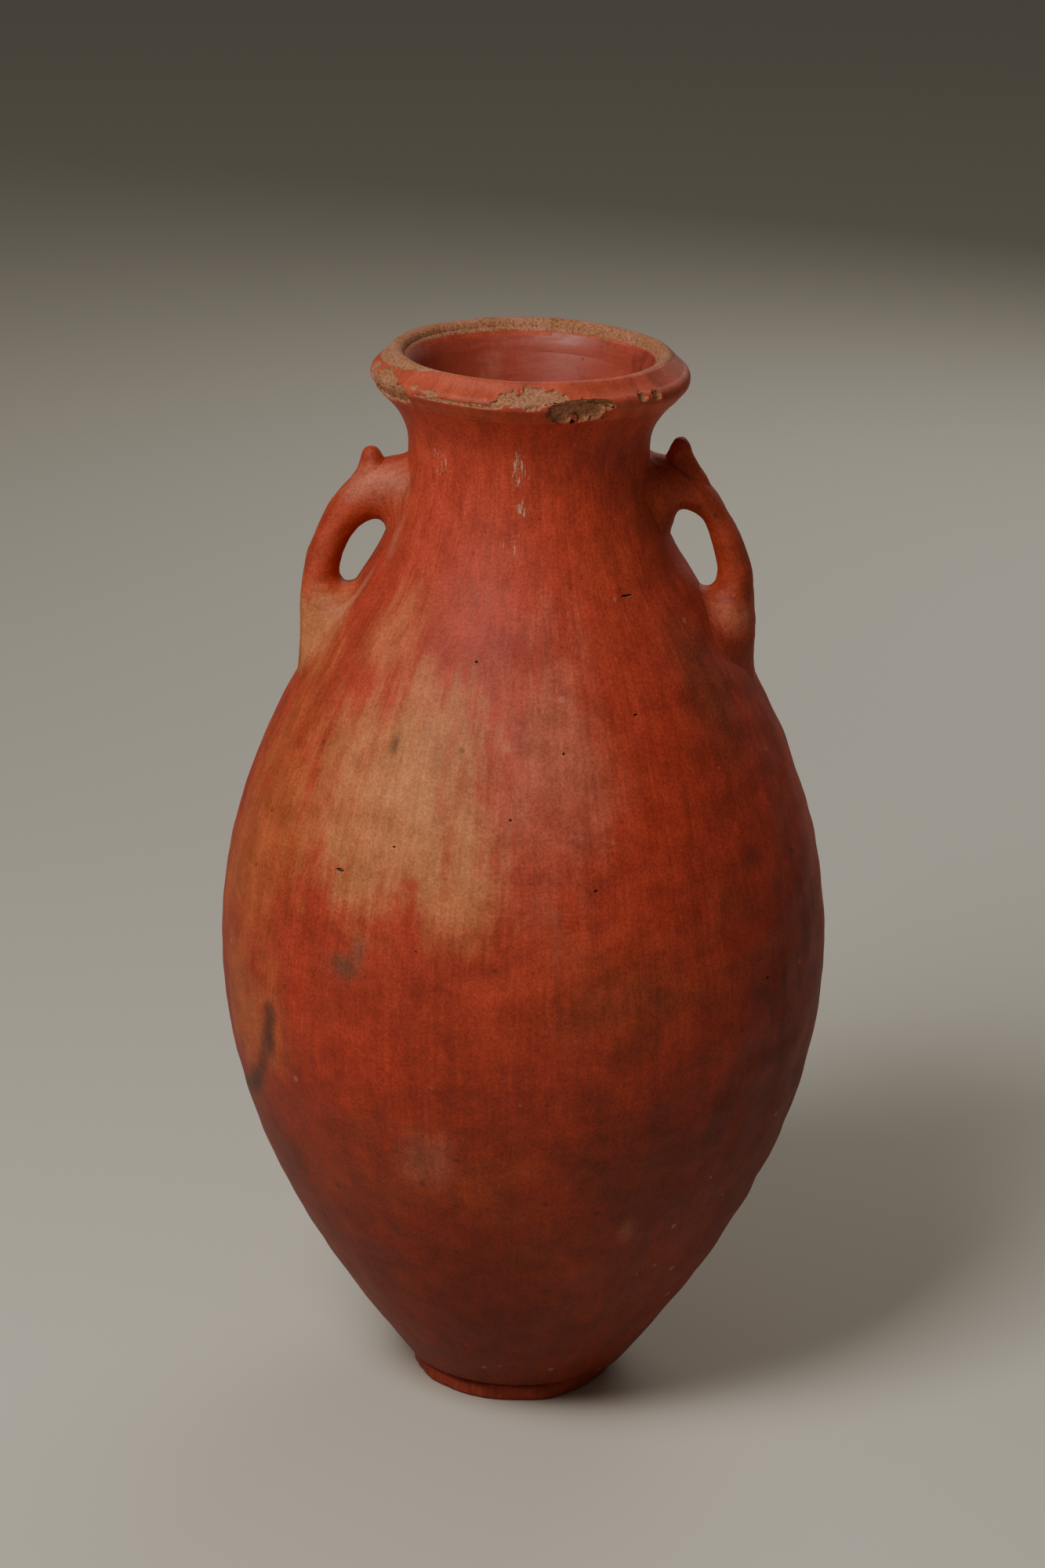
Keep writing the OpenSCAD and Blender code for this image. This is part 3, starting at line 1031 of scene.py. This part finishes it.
def makeSlip(name, finish):
    material, tree = startMaterial(name)
    around = place(tree, aroundTheJar)["Around"]
    values = {"Slip": opaque(finish["color"]), "Marks": finish["marks"]}
    color = place(tree, kilnColorAndPaintedLight, values)["Color"]
    strokes = place(tree, burnish, {"Width": finish["strokes"]})
    grit = place(tree, clayGrain, {"Size": finish["grain"]})
    depth = finish["strokeTone"]
    tone = ramp(tree, strokes["Tone"], 0.3, 0.7, 1 - depth, 1 + depth)
    tone = times(tree, tone, ramp(tree, grit["Grain"], 0.25, 0.75, 0.74, 1.26))
    color = scaled(tree, color, tone)
    color = blend(tree, times(tree, grit["Pale"], 0.35), color, opaque("pale"))
    color = blend(tree, times(tree, grit["Dark"], 0.38), color, opaque("soot"))
    height = calc(tree, "ADD", times(tree, strokes["Height"], 0.6), grit["Grain"])
    bare = place(tree, bareGroup, {"Size": bareGrain})
    # where the slip is gone: the marked places on this piece, and the spots that flaked
    gone = add(tree, "Attribute", attribute_name="bare").outputs["Fac"]
    speck = clouds(tree, vectorOf(tree, "MULTIPLY", around, (1, 1, 0.28)), 760.0, 4.0, 0.7)
    jag = times(tree, calc(tree, "SUBTRACT", speck, 0.5), 1.6)
    gone = ramp(tree, calc(tree, "ADD", times(tree, gone, 1.5), jag), 0.42, 0.56)
    spalled = 0.0
    for spall in finish["spalls"]:
        soft = markAt(tree, around, 0.0, spall)
        chance = times(tree, soft, spall[5])
        flaked = ramp(tree, calc(tree, "ADD", chance, jag), 0.50, 0.62)
        spalled = calc(tree, "MAXIMUM", spalled, times(tree, flaked, soft))
    color = blend(tree, gone, color, bare["Color"])
    color = blend(tree, times(tree, spalled, 0.85), color, opaque("flake"))
    gone = calc(tree, "MAXIMUM", gone, spalled)
    dull = finish["roughness"]
    rough = ramp(tree, strokes["Tone"], 0.25, 0.75, dull - 0.07, dull + 0.09)
    rough = calc(tree, "ADD", rough, times(tree, gone, 0.35), clamp=True)
    lift = times(tree, height, finish["relief"])
    lift = calc(tree, "SUBTRACT", lift, times(tree, gone, 0.12))
    broken = times(tree, bare["Height"], gone)
    lift = calc(tree, "ADD", lift, times(tree, broken, bareRelief))
    return finishMaterial(material, color, rough, lift, shine=0.27)


def makeBareClay(name, shade):
    material, tree = startMaterial(name)
    bare = place(tree, bareGroup, {"Size": bareGrain})
    rough = ramp(tree, bare["Height"], 0.2, 0.8, 0.95, 0.8)
    color = scaled(tree, bare["Color"], shade)
    return finishMaterial(material, color, rough, times(tree, bare["Height"], bareRelief))


insideClay = {"rings": 420.0, "grain": 0.0008, "roughness": 0.46, "relief": 0.08}


def makeInsideClay(name, look):
    # thinner slip with level throwing marks, seen through the mouth
    material, tree = startMaterial(name)
    around = place(tree, aroundTheJar)["Around"]
    level = vectorOf(tree, "MULTIPLY", around, (0.07, 0.07, 1.0))
    rings = clouds(tree, level, look["rings"], 4.0, 0.7)
    cloud = clouds(tree, around, 28.0, 6.0, 0.65)
    grit = place(tree, clayGrain, {"Size": look["grain"]})
    faded = times(tree, ramp(tree, cloud, 0.5, 0.75), 0.35)
    color = blend(tree, faded, opaque("inside"), opaque("pale"))
    stained = times(tree, ramp(tree, cloud, 0.46, 0.32), 0.5)
    color = blend(tree, stained, color, opaque("brown"))
    tone = ramp(tree, rings, 0.3, 0.7, 0.92, 1.07)
    tone = times(tree, tone, ramp(tree, grit["Grain"], 0.25, 0.75, 0.85, 1.15))
    color = scaled(tree, color, tone)
    color = blend(tree, times(tree, grit["Dark"], 0.6), color, opaque("soot"))
    rough = ramp(tree, rings, 0.3, 0.7, look["roughness"] - 0.06, look["roughness"] + 0.12)
    height = calc(tree, "ADD", rings, times(tree, grit["Grain"], 0.6))
    return finishMaterial(material, color, rough, times(tree, height, look["relief"]))


materials = {name: makeSlip(name, finish) for name, finish in finishes.items()}
rawClay = makeBareClay("rawClay", 0.8)
# the small holes get a bare clay painted four times darker: painted shade in the holes
pitShadeClay = makeBareClay("pitShadeClay", 0.25)
insideWall = makeInsideClay("insideWall", insideClay)
finishOf = {"foot_ring": "footSlip", "neck": "neckSlip", "rim": "rimSlip"}
print("materials made")

for node, piece in pieces.items():
    onStrap = "handle" in node or "knob" in node
    finish = finishOf.get(node, "handleSlip" if onStrap else "bodySlip")
    piece.data.materials.clear()
    piece.data.materials.append(materials[finish])
    if not onStrap and node != "foot_ring":
        # the inner side of the wall and the seams take the inside's finish
        piece.data.materials.append(insideWall)
        for face in piece.data.polygons:
            radius = math.hypot(face.center.x, face.center.y)
            inner = face.normal.x * face.center.x + face.normal.y * face.center.y
            if inner < -1e-5 * radius and face.center.z < jarTop - 0.008:
                face.material_index = 1
            if node == "base_disc" and face.normal.z > 0.5:
                face.material_index = 1
    softenShading(piece)
    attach(piece, "root")
    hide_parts(node)
print("finishes given")

# ---------- slit and small holes ----------

# degrees round from the front, height, half length, half height, depth, and slope in degrees
wallHoles = {
    "shoulder_wall": [
        (38.5, 0.4150, 0.0072, 0.0006, 0.0034, -4),
        (-15.0, 0.3910, 0.0007, 0.0005, 0.0020, 20),
        (29.0, 0.3680, 0.0007, 0.0005, 0.0020, 0),
        (9.0, 0.3550, 0.0006, 0.0006, 0.0009, 0),
        (-3.0, 0.3280, 0.0007, 0.0006, 0.0009, 0),
        (-27.0, 0.3120, 0.0006, 0.0005, 0.0008, 0),
        (141.0, 0.3700, 0.0013, 0.0009, 0.0014, 30),
    ],
    "belly_wall": [
        (-38.2, 0.2970, 0.0008, 0.0007, 0.0030, 10),
        (14.0, 0.2970, 0.0008, 0.0007, 0.0012, 0),
        (-20.0, 0.2680, 0.0012, 0.0003, 0.0008, -30),
        (52.0, 0.2400, 0.0008, 0.0007, 0.0010, 0),
        (-160.0, 0.2200, 0.0012, 0.0010, 0.0016, 0),
    ],
}


slitLength = 0.004  # a hole with more than this half length is a slit, and its clay shows


def makeCutter(holes):
    # rough pebbles sunk in the wall, joined as one
    bpy.ops.object.select_all(action="DESELECT")
    pebbles = []
    for degrees, height, halfLength, halfHeight, depth, slope in holes:
        angle = math.radians(degrees)
        radius = outerRadius(height)
        push = bodySway(radius * math.sin(angle), -radius * math.cos(angle), height)
        bpy.ops.mesh.primitive_ico_sphere_add(subdivisions=4, radius=1)
        pebble = bpy.context.object
        for vertex in pebble.data.vertices:
            vertex.co *= 1 + 0.25 * roughness(vertex.co, 0.6, degrees)
        bpy.ops.object.mode_set(mode="EDIT")
        bpy.ops.mesh.select_all(action="SELECT")
        centre = (0, 0, 0)
        bpy.ops.transform.resize(value=(halfLength, depth, halfHeight), center_override=centre)
        bpy.ops.transform.rotate(value=math.radians(slope), orient_axis="Y", center_override=centre)
        bpy.ops.transform.rotate(value=angle, orient_axis="Z", center_override=centre)
        bpy.ops.transform.translate(
            value=((radius + push) * math.sin(angle), -(radius + push) * math.cos(angle), height)
        )
        bpy.ops.object.mode_set(mode="OBJECT")
        # the slit shows its clay, and the small pits take the darkened clay as painted shade in the
        # holes
        pebble.data.materials.append(rawClay if halfLength > slitLength else pitShadeClay)
        pebbles.append(pebble)
    for pebble in pebbles:
        pebble.select_set(True)
    bpy.context.view_layer.objects.active = pebbles[0]
    bpy.ops.object.join()
    return pebbles[0]


for node, holes in wallHoles.items():
    cutter = makeCutter(holes)
    applyModifier(
        pieces[node], "BOOLEAN", operation="DIFFERENCE", object=cutter, solver="EXACT",
        material_mode="TRANSFER",
    )
    bpy.data.objects.remove(cutter)
    softenShading(pieces[node])
print("holes cut")

# ---------- light and floor ----------

studio = {
    "aim": (0, 0, 0.3),
    "keyAt": (-0.74, -0.96, 1.66),
    "keySize": 0.7,
    "keyPower": 22.6,
    "keyColor": (1.0, 0.95, 0.88),
    "backAt": (0.75, 1.75, 1.45),
    "backSize": 1.4,
    "backPower": 11,
    "skyColor": (0.90, 0.83, 0.70, 1),
    "skyStrength": 0.085,
    "floor": (0.76, 0.73, 0.65, 1),
    "floorRoughness": 0.85,
}


def makeStudio(setting):
    for name in ("key", "back"):
        bpy.ops.object.light_add(type="AREA", location=setting[name + "At"])
        light = bpy.context.object
        light.name = name + "Light"
        light.data.size = setting[name + "Size"]
        light.data.energy = setting[name + "Power"]
        light.data.color = setting["keyColor"]
        aim = Vector(setting["aim"]) - light.location
        light.rotation_euler = aim.to_track_quat("-Z", "Y").to_euler()
    world = bpy.data.worlds.new("studioSky")
    bpy.context.scene.world = world
    world.use_nodes = True
    sky = world.node_tree.nodes["Background"]
    sky.inputs["Color"].default_value = setting["skyColor"]
    sky.inputs["Strength"].default_value = setting["skyStrength"]


def makeFloor(setting):
    bpy.ops.mesh.primitive_plane_add(size=16)
    floor = bpy.context.object
    floor.name = "floor"
    material = bpy.data.materials.new("paleFloor")
    material.use_nodes = True
    surface = material.node_tree.nodes["Principled BSDF"]
    surface.inputs["Base Color"].default_value = setting["floor"]
    surface.inputs["Roughness"].default_value = setting["floorRoughness"]
    floor.data.materials.append(material)


makeStudio(studio)
makeFloor(studio)
